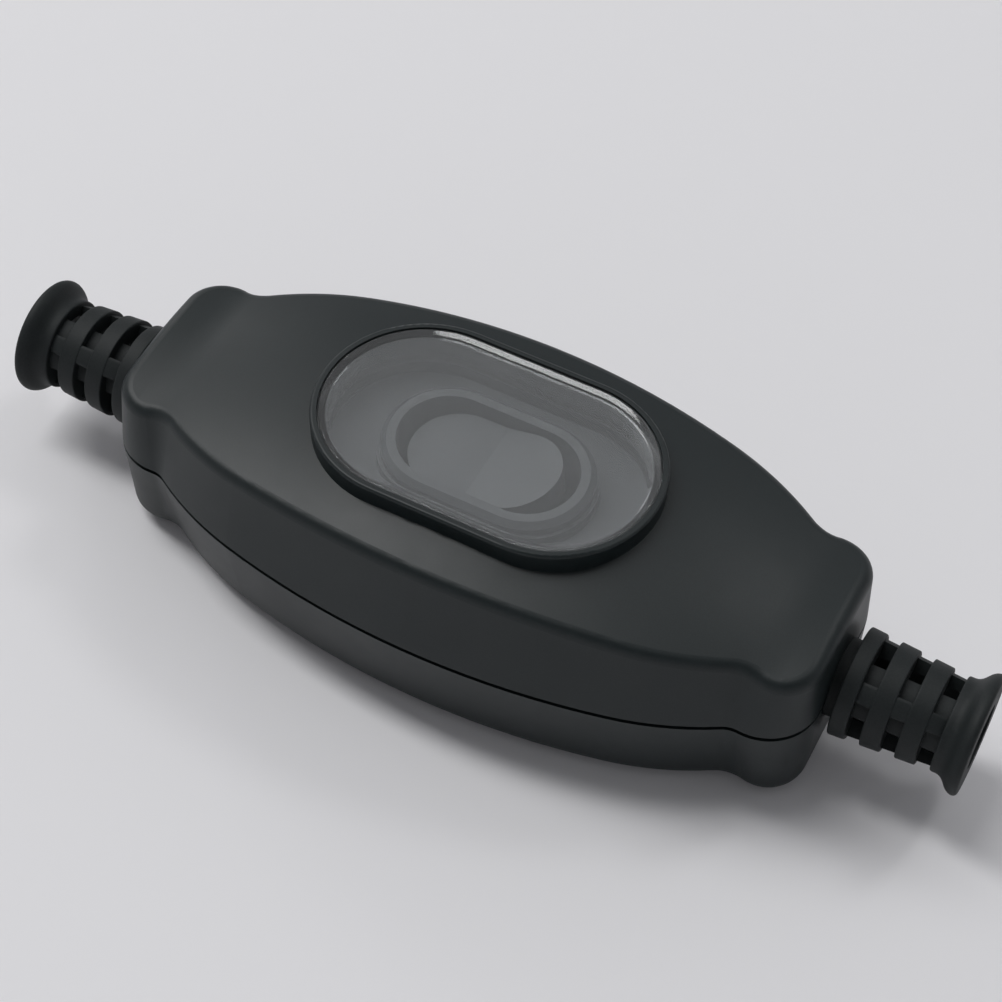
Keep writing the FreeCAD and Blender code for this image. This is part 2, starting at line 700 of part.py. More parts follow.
def make_switch_case():
    """Moulded body with one chamber for each pole, hung by its flange on the frame."""
    body = oblong_block(case_half_straight, case_radius, case_bottom, flange_bottom)
    flange = oblong_block(case_half_straight, case_radius + case_flange_overhang, flange_bottom,
                          flange_bottom + case_flange_thickness)
    rim = [edge for edge in flange.Edges if edge.BoundBox.ZMin > flange_bottom + case_flange_thickness - 0.01]
    flange = flange.makeChamfer(case_flange_thickness * 0.4, rim)
    well = oblong_block(case_half_straight, case_radius - case_wall, case_floor_top, flange_bottom + wall)
    end_x = case_half_straight + case_radius
    latches = []
    for side in (-1, 1):
        points = [(side * (end_x - case_wall / 2), frame_plate_bottom - case_fit_clearance - latch_height),
                  (side * (end_x - case_wall / 2), frame_plate_bottom - case_fit_clearance),
                  (side * (end_x + latch_depth), frame_plate_bottom - case_fit_clearance)]
        latches.append(side_profile(points, latch_width / 2))
    case = fused([body, flange] + latches).cut(well)
    divider = box(-end_x + case_wall / 2, end_x - case_wall / 2, -divider_thickness / 2, divider_thickness / 2,
                  case_floor_top - 1, case_floor_top + divider_rise)
    stop_x = blade_half_length - stop_length / 2
    drop = stop_x * math.sin(math.radians(blade_rest_degrees))
    stop_top = blade_bottom - drop - stop_gap - stop_length * math.sin(math.radians(blade_rest_degrees))
    stops = [box(stop_x - stop_length / 2, stop_x + stop_length / 2,
                 sy * pole_y - blade_width / 2, sy * pole_y + blade_width / 2, case_floor_top - 1, stop_top)
             for sy in (-1, 1)]
    case = fused([case, divider] + stops)
    cuts = []
    hole_reach = rocker_radius + trunnion_reach + running_clearance
    for sy in (-1, 1):
        cuts.append(Part.makeCylinder(trunnion_radius + running_clearance, hole_reach,
                                      Vector(0, 0, rocker_pivot_height), Vector(0, sy, 0)))
        half_width = terminal_width / 2 + case_fit_clearance
        half_thick = terminal_thickness / 2 + case_fit_clearance
        y = sy * pole_y
        cuts.append(box(-half_width, half_width, y - half_thick, y + half_thick, case_bottom - 1,
                        case_floor_top + 1))
        cuts.append(box(-terminal_load_x - half_thick, -terminal_load_x + half_thick,
                        y - half_width, y + half_width, case_bottom - 1, case_floor_top + 1))
    return case.cut(Part.makeCompound(cuts))


def at_rest_tilt(shape):
    """Turns a rocker part, made about its pivot, to the rest position."""
    shape.translate(Vector(0, 0, rocker_pivot_height))
    shape.rotate(Vector(0, 0, rocker_pivot_height), Vector(0, 1, 0), rocker_rest_degrees)
    return shape


def make_rocker():
    """Oblong rocker with a shallow dished top, two trunnions and a leg for each plunger."""
    end_x = rocker_half_straight + rocker_radius
    outline = oblong_block(rocker_half_straight, rocker_radius, -rocker_bottom_drop * 2, rocker_end_rise * 2)
    points = [(-end_x, rocker_end_rise), (0, rocker_middle_rise), (end_x, rocker_end_rise),
              (end_x, -rocker_end_depth), (rocker_foot_half_length, -rocker_bottom_drop),
              (-rocker_foot_half_length, -rocker_bottom_drop), (-end_x, -rocker_end_depth)]
    body = outline.common(side_profile(points, rocker_radius + 1))
    reach = rocker_radius + trunnion_reach
    trunnions = Part.makeCylinder(trunnion_radius, 2 * reach, Vector(0, -reach, 0), Vector(0, 1, 0))
    legs = [pillar(0, sy * pole_y, leg_radius, -leg_drop, 0) for sy in (-1, 1)]
    bores = [pillar(0, sy * pole_y, plunger_radius + running_clearance, -leg_drop - 1, plunger_bore_top)
             for sy in (-1, 1)]
    return at_rest_tilt(fused([body, trunnions] + legs).cut(Part.makeCompound(bores)))


def make_plunger(sy):
    """Round-tipped pin that the spring presses onto the blade."""
    tip_centre = -plunger_tip_drop + plunger_radius
    pin = pillar(0, sy * pole_y, plunger_radius, tip_centre, -plunger_top_drop)
    tip = Part.makeSphere(plunger_radius, Vector(0, sy * pole_y, tip_centre))
    return at_rest_tilt(fused([pin, tip]))


def make_plunger_spring(sy):
    """Compression spring between the plunger and the end of its bore, of six-sided wire."""
    radius = plunger_radius - spring_wire_radius - running_clearance
    length = plunger_bore_top + plunger_top_drop - 2 * spring_wire_radius - 2 * running_clearance
    steps = round(spring_turns * spring_steps_per_turn)
    sections = []
    for step in range(steps + 1):
        corners = []
        for corner in range(6):
            angle = math.radians(60 * corner)
            corners.append(Vector(radius + spring_wire_radius * math.cos(angle), 0,
                                  spring_wire_radius * math.sin(angle) + length * step / steps))
        section = Part.makePolygon(corners + corners[:1])
        section.rotate(Vector(0, 0, 0), Vector(0, 0, 1), 360 * step / spring_steps_per_turn)
        sections.append(section)
    spring = Part.makeLoft(sections, True, True)
    spring.translate(Vector(0, sy * pole_y, -plunger_top_drop + spring_wire_radius + running_clearance))
    return at_rest_tilt(spring)


def make_contact_blade(sy):
    """Blade that see-saws on its terminal, with a contact rivet at one end."""
    y = sy * pole_y
    blade = box(-blade_half_length, blade_half_length, y - blade_width / 2, y + blade_width / 2,
                blade_bottom, blade_top)
    rivet = pillar(-rivet_x, y, rivet_radius, blade_bottom - rivet_height, blade_bottom + blade_thickness / 2)
    blade = fused([blade, rivet])
    blade.rotate(Vector(0, y, blade_bottom), Vector(0, 1, 0), blade_rest_degrees)
    return blade


def make_common_terminal(sy):
    """Flat tab whose pointed top carries the blade."""
    half = terminal_width / 2
    tip = blade_bottom - cradle_gap
    shoulder = case_floor_top + cradle_shoulder_rise
    points = [(-half, terminal_bottom), (half, terminal_bottom), (half, shoulder),
              (cradle_tip_half_width, tip), (-cradle_tip_half_width, tip), (-half, shoulder)]
    return side_profile(points, terminal_thickness / 2, sy * pole_y)


def make_load_terminal(sy):
    """Bent tab with the fixed contact under the blade's rivet."""
    y = sy * pole_y
    x = -terminal_load_x
    half = terminal_thickness / 2
    shelf_top = case_floor_top + shelf_rise
    tab = box(x - half, x + half, y - terminal_width / 2, y + terminal_width / 2, terminal_bottom, shelf_top)
    shelf = box(x - half, -rivet_x + rivet_radius, y - blade_width / 2, y + blade_width / 2,
                shelf_top - terminal_thickness, shelf_top)
    closed = math.radians(blade_rest_degrees)
    contact_top = blade_bottom - (rivet_x + rivet_radius) * math.sin(closed) - rivet_height - contact_gap
    contact = pillar(-rivet_x, y, rivet_radius, shelf_top - terminal_thickness / 2, contact_top)
    return fused([tab, shelf, contact])


# Earth connector

def make_earth_cradle():
    """Moulded pocket on the floor that holds the earth connector."""
    half_x = earth_length / 2
    half_y = earth_width / 2
    block = box(earth_x - half_x, earth_x + half_x, -half_y - cradle_wall, half_y + cradle_wall,
                floor_thickness / 2, earth_bottom + cradle_height)
    pocket = box(earth_x - half_x - 1, earth_x + half_x + 1, -half_y - case_fit_clearance,
                 half_y + case_fit_clearance, earth_bottom, earth_bottom + earth_height)
    return block.cut(pocket)


def make_earth_block():
    half_x = earth_length / 2
    half_y = earth_width / 2
    block = box(earth_x - half_x, earth_x + half_x, -half_y, half_y, earth_bottom, earth_bottom + earth_height)
    bore_z = earth_bottom + earth_height * 0.4
    cuts = [bar_along_x(earth_bore_radius, earth_x - half_x - 1, earth_x + half_x + 1, bore_z)]
    cuts += [pillar(x, 0, earth_screw_radius + screw_clearance, bore_z, earth_bottom + earth_height + 1)
             for x in earth_screw_places()]
    return block.cut(Part.makeCompound(cuts))


def earth_screw_places():
    return [earth_x - earth_screw_spacing / 2, earth_x + earth_screw_spacing / 2]


def make_earth_screws():
    top = earth_bottom + earth_height
    tip = earth_bottom + earth_height * 0.4
    screws = []
    for x in earth_screw_places():
        body = pillar(x, 0, earth_screw_radius, tip, top + earth_screw_proud)
        slot = box(x - earth_screw_radius, x + earth_screw_radius, -drive_slot_width / 2, drive_slot_width / 2,
                   top, top + earth_screw_proud + 1)
        screws.append(body.cut(slot))
    return Part.makeCompound(screws)


def all_pieces():
    """Every piece with the name of its node."""
    pieces = {
        "housing_top": make_housing_top(),
        "housing_base": make_housing_base(),
        "housing_screws": make_housing_screws(),
        "window_membrane": make_membrane(),
        "switch_frame": make_switch_frame(),
        "frame_screws": make_frame_screws(),
        "strain_relief_right": make_strain_relief(1),
        "strain_relief_left": make_strain_relief(-1),
        "cord_clamp_right": make_cord_clamp(1),
        "cord_clamp_left": make_cord_clamp(-1),
        "cord_clamp_screws": make_clamp_screws(),
        "switch_case": make_switch_case(),
        "rocker": make_rocker(),
        "earth_block": make_earth_block(),
        "earth_screws": make_earth_screws(),
    }
    pieces.update(make_seals())
    for name, sy in (("front", -1), ("back", 1)):
        pieces["plunger_" + name] = make_plunger(sy)
        pieces["plunger_spring_" + name] = make_plunger_spring(sy)
        pieces["contact_blade_" + name] = make_contact_blade(sy)
        pieces["common_terminal_" + name] = make_common_terminal(sy)
        pieces["load_terminal_" + name] = make_load_terminal(sy)
    return pieces


for node, shape in all_pieces().items():
    shape.exportStep("parts/" + node + ".step")
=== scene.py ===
# %% [markdown]
# # An inline cord switch
# The switch sits in the middle of a power cord. Two dark plastic shells meet at a thin joint, a
# clear soft membrane closes the window over a rocker, and a ribbed rubber sleeve holds the cord
# at each end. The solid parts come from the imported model. This script gives them their finishes
# and makes the soft pieces again as finer surfaces.

# %% Load the fixed frame
import bmesh
import bpy
import json
import math
import numpy as np
from mathutils import Matrix, Vector


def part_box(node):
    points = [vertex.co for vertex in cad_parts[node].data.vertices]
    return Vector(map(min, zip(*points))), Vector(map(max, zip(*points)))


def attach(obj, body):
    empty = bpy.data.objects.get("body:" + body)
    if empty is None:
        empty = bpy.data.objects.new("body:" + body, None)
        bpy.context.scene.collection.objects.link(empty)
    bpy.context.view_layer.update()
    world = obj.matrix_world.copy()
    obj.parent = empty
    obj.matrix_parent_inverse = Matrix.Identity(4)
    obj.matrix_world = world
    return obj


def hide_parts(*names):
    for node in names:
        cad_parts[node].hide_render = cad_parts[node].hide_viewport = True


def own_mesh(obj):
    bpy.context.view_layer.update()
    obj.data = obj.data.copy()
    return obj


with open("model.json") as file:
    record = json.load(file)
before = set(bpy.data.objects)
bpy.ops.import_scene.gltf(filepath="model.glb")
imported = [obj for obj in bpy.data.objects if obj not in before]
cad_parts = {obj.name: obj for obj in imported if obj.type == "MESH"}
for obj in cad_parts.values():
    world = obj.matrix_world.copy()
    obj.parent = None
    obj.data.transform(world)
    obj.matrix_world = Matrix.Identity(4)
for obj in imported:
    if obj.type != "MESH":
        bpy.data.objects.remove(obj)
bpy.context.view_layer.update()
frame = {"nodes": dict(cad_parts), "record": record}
nodes = frame["nodes"]
MM = 0.001

# %% [markdown]
# ## The camera
# A photograph can be matched with a few numbers: where the camera stands round the object, how
# high it looks from, how far away it is and how long its lens is. The target is a point inside
# the housing, and two small shifts place the object in the picture.

# %% Place the camera
view_turn, view_height, view_roll = np.radians([25.99, 52.56, 2.0])
view_distance = 335.2 * MM
lens_in_image_widths = 2307.9 / 1002
view_target = np.array([0.0, 0.0, 12.0]) * MM
view_offset = np.array([2.21, 5.46]) * MM

back = np.array([math.sin(view_turn) * math.cos(view_height),
                 -math.cos(view_turn) * math.cos(view_height),
                 math.sin(view_height)])
level_right = np.array([math.cos(view_turn), math.sin(view_turn), 0.0])
level_up = np.cross(back, level_right)
right = math.cos(view_roll) * level_right + math.sin(view_roll) * level_up
up = math.cos(view_roll) * level_up - math.sin(view_roll) * level_right
place = view_target + right * view_offset[0] + up * view_offset[1] + back * view_distance

camera = bpy.data.objects.new("camera", bpy.data.cameras.new("camera"))
camera.data.sensor_width = 36.0
camera.data.lens = 36.0 * lens_in_image_widths
camera.data.clip_start = 0.01
camera.matrix_world = Matrix(((right[0], up[0], back[0], place[0]),
                              (right[1], up[1], back[1], place[1]),
                              (right[2], up[2], back[2], place[2]),
                              (0, 0, 0, 1)))
bpy.context.scene.collection.objects.link(camera)
bpy.context.scene.camera = camera
bpy.context.scene.view_settings.view_transform = "Standard"
print("camera at", np.round(place, 3))

# %% [markdown]
# ## Grids of points
# Every new piece is a surface worked out on a grid. A grid has rows and columns of points, and
# neighbouring points make the faces. A grid can close on itself round the columns, as a tube
# does, so the last column joins the first.

# %% A helper that turns arrays into a mesh
def mesh_object(name, points, faces):
    """A smooth mesh from an array of points and an array of faces with four corners each. Points
    that fall on each other become one, and a face that loses its area goes away with them."""
    mesh = bpy.data.meshes.new(name)
    mesh.vertices.add(len(points))
    mesh.vertices.foreach_set("co", (points * MM).reshape(-1))
    mesh.loops.add(faces.size)
    mesh.loops.foreach_set("vertex_index", faces.reshape(-1).astype(np.int32))
    mesh.polygons.add(len(faces))
    mesh.polygons.foreach_set("loop_start", np.arange(0, faces.size, 4, dtype=np.int32))
    mesh.update(calc_edges=True)
    work = bmesh.new()
    work.from_mesh(mesh)
    bmesh.ops.remove_doubles(work, verts=work.verts, dist=1e-7)
    bmesh.ops.recalc_face_normals(work, faces=work.faces)
    work.to_mesh(mesh)
    work.free()
    mesh.polygons.foreach_set("use_smooth", np.ones(len(mesh.polygons), dtype=bool))
    mesh.update()
    piece = bpy.data.objects.new(name, mesh)
    bpy.context.scene.collection.objects.link(piece)
    print(name, "has", len(mesh.polygons), "faces")
    return piece


def grid_faces(rows, columns):
    """Faces of a grid whose columns close on themselves. Face (i, j) joins the points (i, j),
    (i, j + 1), (i + 1, j + 1) and (i + 1, j)."""
    index = np.arange(rows * columns).reshape(rows, columns)
    following = np.roll(index, -1, axis=1)
    return np.stack([index[:-1], following[:-1], following[1:], index[1:]], axis=-1).reshape(-1, 4)


def softened(corners, steps=5):
    """A line through corners of (place, radius, rounding). Each corner with a rounding becomes a
    quadratic curve from the rounding's length before the corner to the same length after it."""
    corners = np.array(corners, dtype=float)
    place = corners[:, :2]
    before = np.vstack([place[:1], place[:-1]]) - place
    after = np.vstack([place[1:], place[-1:]]) - place
    cut = corners[:, 2:3]
    before_length = np.maximum(np.linalg.norm(before, axis=1, keepdims=True), 1e-9)
    after_length = np.maximum(np.linalg.norm(after, axis=1, keepdims=True), 1e-9)
    start = place + before * np.minimum(cut / before_length, 0.49)
    end = place + after * np.minimum(cut / after_length, 0.49)
    share = np.linspace(0, 1, steps)[None, :, None]
    curve = ((1 - share) ** 2 * start[:, None] + 2 * share * (1 - share) * place[:, None]
             + share ** 2 * end[:, None])
    kept = np.ones((len(corners), steps), dtype=bool)
    kept[cut[:, 0] == 0, 1:] = False
    return curve[kept]


# %% [markdown]
# ## The floor and the light
# The object lies on a pale sheet that curves up far away on all sides, as a backdrop does, so no
# low view ends in a dark edge. The floor is 0.05 mm below the object, which keeps the two
# surfaces apart. Three lamps light it: a long strip above to the left, which gives the bright
# line along the far edge of the window, and two small lamps behind, which shape the shadows.

# %% Lay the floor, sizes in millimetres
flat_radius = 1900.0
curve_radius = 1000.0
wall_top = 1500.0
floor_drop = 0.05
floor_columns = 96
bend = np.radians(np.linspace(0, 90, 19))
profile = np.concatenate([[[0.0, 0.0]],
                          np.stack([flat_radius + curve_radius * np.sin(bend),
                                    curve_radius * (1 - np.cos(bend))], axis=-1),
                          [[flat_radius + curve_radius, wall_top]]])
around = np.radians(np.arange(floor_columns) * 360.0 / floor_columns)
sheet = np.stack([profile[:, :1] * np.cos(around), profile[:, :1] * np.sin(around),
                  np.repeat(profile[:, 1:] - floor_drop, around.size, axis=1)], axis=-1)
floor = mesh_object("floor", sheet.reshape(-1, 3), grid_faces(*sheet.shape[:2]))
floor_finish = bpy.data.materials.new("pale_sheet")
floor_finish.use_nodes = True
floor_shader = floor_finish.node_tree.nodes["Principled BSDF"]
floor_shader.inputs["Base Color"].default_value = (0.775, 0.77, 0.785, 1)
floor_shader.inputs["Roughness"].default_value = 0.75
floor.data.materials.append(floor_finish)

# %% Hang the lamps
def soft_lamp(name, place, width, height, watts):
    """A rectangular area lamp. Its -Z axis points from its place to the object."""
    lamp = bpy.data.objects.new(name, bpy.data.lights.new(name, "AREA"))
    lamp.data.shape = "RECTANGLE"
    lamp.data.size = width
    lamp.data.size_y = height
    lamp.data.energy = watts
    aim = -Vector(place)
    lamp.matrix_world = Matrix.Translation(place) @ aim.to_track_quat("-Z", "Y").to_matrix().to_4x4()
    bpy.context.scene.collection.objects.link(lamp)


soft_lamp("strip_above", (-1.15, 0.12, 2.0), 0.42, 2.0, 29)
soft_lamp("lamp_left", (-1.9, 1.45, 1.0), 0.5, 0.5, 4)
soft_lamp("lamp_right", (0.75, 1.3, 2.0), 0.4, 0.4, 5)

# %% [markdown]
# ## The room
# A room is brighter on one side than on the other. The light from each direction follows how
# near that direction is to the bright side, which lies behind and above, so the housing's top is
# softly lit and its near wall stays dark.

# %% Light the room
bright_side = (-0.12, 0.66, 0.74)
world = bpy.data.worlds.new("room")
world.use_nodes = True
room = world.node_tree
room_light = room.nodes["Background"]
room_light.inputs["Color"].default_value = (0.96, 0.97, 1.0, 1)
direction = room.nodes.new("ShaderNodeTexCoord").outputs["Generated"]
toward = room.nodes.new("ShaderNodeVectorMath")
toward.operation = "DOT_PRODUCT"
toward.inputs[1].default_value = bright_side
room.links.new(direction, toward.inputs[0])
level = room.nodes.new("ShaderNodeMapRange")
level.interpolation_type = "SMOOTHSTEP"
for label, number in (("From Min", 0.1), ("From Max", 0.95),
                      ("To Min", 0.10), ("To Max", 0.52)):
    level.inputs[label].default_value = number
room.links.new(toward.outputs["Value"], level.inputs["Value"])
room.links.new(level.outputs["Result"], room_light.inputs["Strength"])
bpy.context.scene.world = world

# %% [markdown]
# ## Shared effects
# Moulded plastic is never quite even. The tool that made it was spark-eroded, so its skin has a
# fine grain, and hands leave broad, faint smears that change its shine. Both effects are node
# groups with named inputs, so each material can use them at its own size.

# %% Node helpers
def group_with(name, numbers, outputs):
    """An empty shader node group with number inputs (name and value) and typed outputs."""
    group = bpy.data.node_groups.new(name, "ShaderNodeTree")
    group.interface.new_socket("Vector", in_out="INPUT", socket_type="NodeSocketVector")
    for label, value in numbers:
        socket = group.interface.new_socket(label, in_out="INPUT", socket_type="NodeSocketFloat")
        socket.default_value = value
    for label, kind in outputs:
        group.interface.new_socket(label, in_out="OUTPUT", socket_type=kind)
    return group, group.nodes.new("NodeGroupInput"), group.nodes.new("NodeGroupOutput")


def noise_in(tree, vector, scale, detail=2.0, roughness=0.5):
    """A noise texture fed by the vector socket. The scale is a number or a socket."""
    noise = tree.nodes.new("ShaderNodeTexNoise")
    noise.inputs["Detail"].default_value = detail
    noise.inputs["Roughness"].default_value = roughness
    tree.links.new(vector, noise.inputs["Vector"])
    if isinstance(scale, (int, float)):
        noise.inputs["Scale"].default_value = scale
    else:
        tree.links.new(scale, noise.inputs["Scale"])
    return noise


def spread(tree, value, low, high, new_low, new_high):
    """A Map Range node: the part of the value from low to high becomes new_low to new_high."""
    node = tree.nodes.new("ShaderNodeMapRange")
    tree.links.new(value, node.inputs["Value"])
    for label, number in (("From Min", low), ("From Max", high),
                          ("To Min", new_low), ("To Max", new_high)):
        if isinstance(number, (int, float)):
            node.inputs[label].default_value = number
        else:
            tree.links.new(number, node.inputs[label])
    return node.outputs["Result"]


# %% The moulded grain group
grain_group, group_in, group_out = group_with(
    "moulded_grain", [("Grains per Metre", 5200.0)],
    [("Height", "NodeSocketFloat"), ("Mask", "NodeSocketFloat")])
fine = noise_in(grain_group, group_in.outputs["Vector"],
                group_in.outputs["Grains per Metre"], 3.0, 0.6)
grain_mask = spread(grain_group, fine.outputs["Fac"], 0.35, 0.65, 0.0, 1.0)
grain_group.links.new(fine.outputs["Fac"], group_out.inputs["Height"])
grain_group.links.new(grain_mask, group_out.inputs["Mask"])

# %% The handling marks group
smear_group, group_in, group_out = group_with(
    "handling_marks", [("Marks per Metre", 38.0), ("Low", 0.4), ("High", 0.5)],
    [("Shine", "NodeSocketFloat")])
broad = noise_in(smear_group, group_in.outputs["Vector"], group_in.outputs["Marks per Metre"], 4.0, 0.62)
smear_group.links.new(spread(smear_group, broad.outputs["Fac"], 0.3, 0.7, group_in.outputs["Low"],
                             group_in.outputs["High"]), group_out.inputs["Shine"])

# %% [markdown]
# ## Finishes
# A finish starts from the Principled shader. The colour moves a little between two near shades,
# the roughness follows the handling marks and the grain lifts the surface by a few microns.

# %% One function for the moulded finishes
def moulded_finish(name, dark, light, shine_low, shine_high, grains, bump, level=0.5, marks=38.0):
    """Principled material. Colour runs from dark to light with the grain's mask, roughness from
    shine_low to shine_high with the marks, and the grain's height feeds a bump in metres."""
    finish = bpy.data.materials.new(name)
    finish.use_nodes = True
    tree = finish.node_tree
    shader = tree.nodes["Principled BSDF"]
    coordinate = tree.nodes.new("ShaderNodeTexCoord").outputs["Object"]
    grain = tree.nodes.new("ShaderNodeGroup")
    grain.node_tree = grain_group
    grain.inputs["Grains per Metre"].default_value = grains
    smear = tree.nodes.new("ShaderNodeGroup")
    smear.node_tree = smear_group
    smear.inputs["Marks per Metre"].default_value = marks
    smear.inputs["Low"].default_value = shine_low
    smear.inputs["High"].default_value = shine_high
    tree.links.new(coordinate, grain.inputs["Vector"])
    tree.links.new(coordinate, smear.inputs["Vector"])
    tone = tree.nodes.new("ShaderNodeMix")
    tone.data_type = "RGBA"
    tone.inputs["A"].default_value = (*dark, 1)
    tone.inputs["B"].default_value = (*light, 1)
    tree.links.new(grain.outputs["Mask"], tone.inputs["Factor"])
    tree.links.new(tone.outputs["Result"], shader.inputs["Base Color"])
    tree.links.new(smear.outputs["Shine"], shader.inputs["Roughness"])
    bumps = tree.nodes.new("ShaderNodeBump")
    bumps.inputs["Strength"].default_value = 1.0
    bumps.inputs["Distance"].default_value = bump
    tree.links.new(grain.outputs["Height"], bumps.inputs["Height"])
    tree.links.new(bumps.outputs["Normal"], shader.inputs["Normal"])
    shader.inputs["Specular IOR Level"].default_value = level
    return finish


def wear_finish(finish, *names):
    """Puts a finish on every material slot of these CAD nodes."""
    for name in names:
        for slot in nodes[name].material_slots:
            slot.material = finish


# %% Finish of the housing
housing_finish = moulded_finish("dark_housing_plastic", (0.0045, 0.0085, 0.0092), (0.007, 0.0122, 0.013),
                                0.40, 0.50, 5200.0, 0.000008, 0.4)
wear_finish(housing_finish, "housing_top", "housing_base")

# %% Finish of the rubber
rubber_finish = moulded_finish("sleeve_rubber", (0.006, 0.009, 0.0095), (0.010, 0.013, 0.0135),
                               0.54, 0.66, 3800.0, 0.00002, 0.3)
wear_finish(rubber_finish, "strain_relief_right", "strain_relief_left", "housing_seal_front",
            "housing_seal_back")

# %% Finishes of the inner plastics
frame_finish = moulded_finish("frame_plastic", (0.017, 0.019, 0.021), (0.024, 0.026, 0.028),
                              0.42, 0.55, 3000.0, 0.0000015)
rocker_finish = moulded_finish("rocker_plastic", (0.024, 0.026, 0.028), (0.030, 0.032, 0.034),
                               0.42, 0.52, 3000.0, 0.0000015)
plunger_finish = moulded_finish("plunger_plastic", (0.62, 0.61, 0.56), (0.70, 0.69, 0.64),
                                0.35, 0.45, 6000.0, 0.000004)
wear_finish(frame_finish, "switch_frame", "cord_clamp_right", "cord_clamp_left", "switch_case")
wear_finish(rocker_finish, "rocker")
wear_finish(plunger_finish, "plunger_front", "plunger_back")

# %% Metal finishes
def metal_finish(name, dark, light, shine_low, shine_high):
    """The same material with a finer, lower grain and a metallic shader."""
    finish = moulded_finish(name, dark, light, shine_low, shine_high, 2600.0, 0.000002)
    finish.node_tree.nodes["Principled BSDF"].inputs["Metallic"].default_value = 1.0
    return finish


steel_finish = metal_finish("zinc_plated_steel", (0.55, 0.56, 0.58), (0.68, 0.69, 0.70), 0.25, 0.4)
brass_finish = metal_finish("stamped_brass", (0.70, 0.50, 0.22), (0.80, 0.60, 0.30), 0.22, 0.36)
copper_finish = metal_finish("contact_copper", (0.72, 0.42, 0.24), (0.80, 0.52, 0.34), 0.25, 0.4)
wear_finish(steel_finish, "housing_screws", "frame_screws", "cord_clamp_screws", "earth_screws",
            "plunger_spring_front", "plunger_spring_back")
wear_finish(brass_finish, "earth_block", "common_terminal_front", "common_terminal_back",
            "load_terminal_front", "load_terminal_back")
wear_finish(copper_finish, "contact_blade_front", "contact_blade_back")

# %% [markdown]
# ## The ribbed sleeves
# A strain relief keeps a cord from bending sharply where it leaves the housing. It is moulded in
# one piece: a flange that the shells trap, a neck, four rings and a flared collar. Slots let it
# bend, and those of one side sit half a step away from those of the other, so it bends evenly.
# A web joins the rings between two slots and lies just below them. Three grids share their
# stations: the outer face, the shoulders in the slots and the bore. Each slot leaves out faces
# of the outer grids, and walls close it.

# %% Sizes of a sleeve, in millimetres from the face of the housing
sleeve_bore = 4.75
first_ring_radius, last_ring_radius = 8.0, 7.0
sleeve_reach = 20.6
flange_thickness = 2.4
flange_radius = 8.6
neck_radius = 5.75
collar_radius = 8.9
first_ring_start, first_ring_end = 1.4, 3.9
ring_pitch = 5.0
slot_width = 2.1
groove_depth = 0.65
slot_starts = first_ring_end + ring_pitch * np.arange(3)
slot_ends = slot_starts + slot_width
opposite_starts = slot_ends[:2] + (ring_pitch - 2 * slot_width) / 2
opposite_ends = opposite_starts + slot_width
web_middle_degrees = 48.0
web_half_degrees = 12.0
shoulder_degrees = 28.0
shoulder_radius = 6.0


def ring_radius(distance):
    """The rings' radius falls evenly from the first ring to the last."""
    share = np.clip((distance - first_ring_start) / (slot_ends[-1] - first_ring_start), 0, 1)
    return first_ring_radius + (last_ring_radius - first_ring_radius) * share


# %% Make the sleeves
def sleeve_profile(flange_start, flange_end, collar_end):
    """Corners of the outer face from the flange to the collar: distance, radius and rounding."""
    line = [(flange_start, sleeve_bore, 0), (flange_start, flange_radius, 0.3),
            (flange_end, flange_radius, 0.3), (flange_end, neck_radius, 0.2),
            (first_ring_start, neck_radius, 0.25), (first_ring_start, ring_radius(first_ring_start), 0.35)]
    for number, (low, high) in enumerate(zip(slot_starts, slot_ends)):
        line += [(low, ring_radius(low), 0.35), (low, ring_radius(low) - groove_depth, 0),
                 (high, ring_radius(high) - groove_depth, 0), (high, ring_radius(high), 0.35)]
        if number < len(opposite_starts):
            line += [(edge, ring_radius(edge), 0)
                     for edge in (opposite_starts[number], opposite_ends[number])]
    line += [(collar_end - 3.0, last_ring_radius, 0.9), (collar_end - 1.7, collar_radius - 0.35, 0.5),
             (collar_end - 0.8, collar_radius + 0.1, 0.5), (collar_end, collar_radius - 0.2, 0.45),
             (collar_end, sleeve_bore, 0.0)]
    return softened(line)


